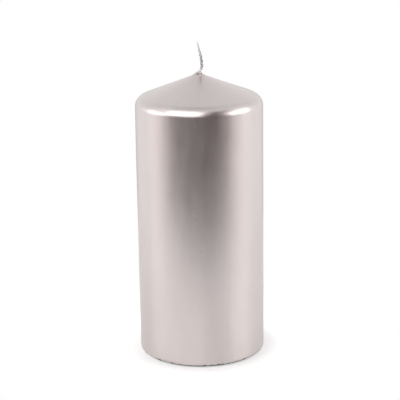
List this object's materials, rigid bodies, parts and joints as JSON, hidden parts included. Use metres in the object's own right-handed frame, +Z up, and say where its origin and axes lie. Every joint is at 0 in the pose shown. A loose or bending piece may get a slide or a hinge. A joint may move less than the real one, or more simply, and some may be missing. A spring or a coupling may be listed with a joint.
{
  "type": "pillar candle",
  "caption": "Free-standing pillar candle with a conical top, a metallic lacquer coat, a dipped wax jacket over a pressed core and a plaited wick in a tinplate sustainer.",
  "frame": {"origin": "centre of the base, on the surface that the candle stands on", "axes": "+Z up along the candle's axis, +X to the right and -Y towards the viewer of the reference picture"},
  "size_m": [0.06, 0.06, 0.1501],
  "materials": {
    "core_wax": "matte",
    "jacket_wax": "satin",
    "lacquer": "satin",
    "wick_cotton": "matte",
    "tinplate": "satin"
  },
  "bodies": {
    "root": {"pressed_wax_core": "core_wax", "hard_wax_jacket": "jacket_wax", "metallic_lacquer": "lacquer", "tip_bead": "lacquer", "wick_strand_1": "wick_cotton", "wick_strand_2": "wick_cotton", "wick_strand_3": "wick_cotton", "wick_sustainer": "tinplate", "base_seal_ring": "core_wax"}
  },
  "joints": []
}
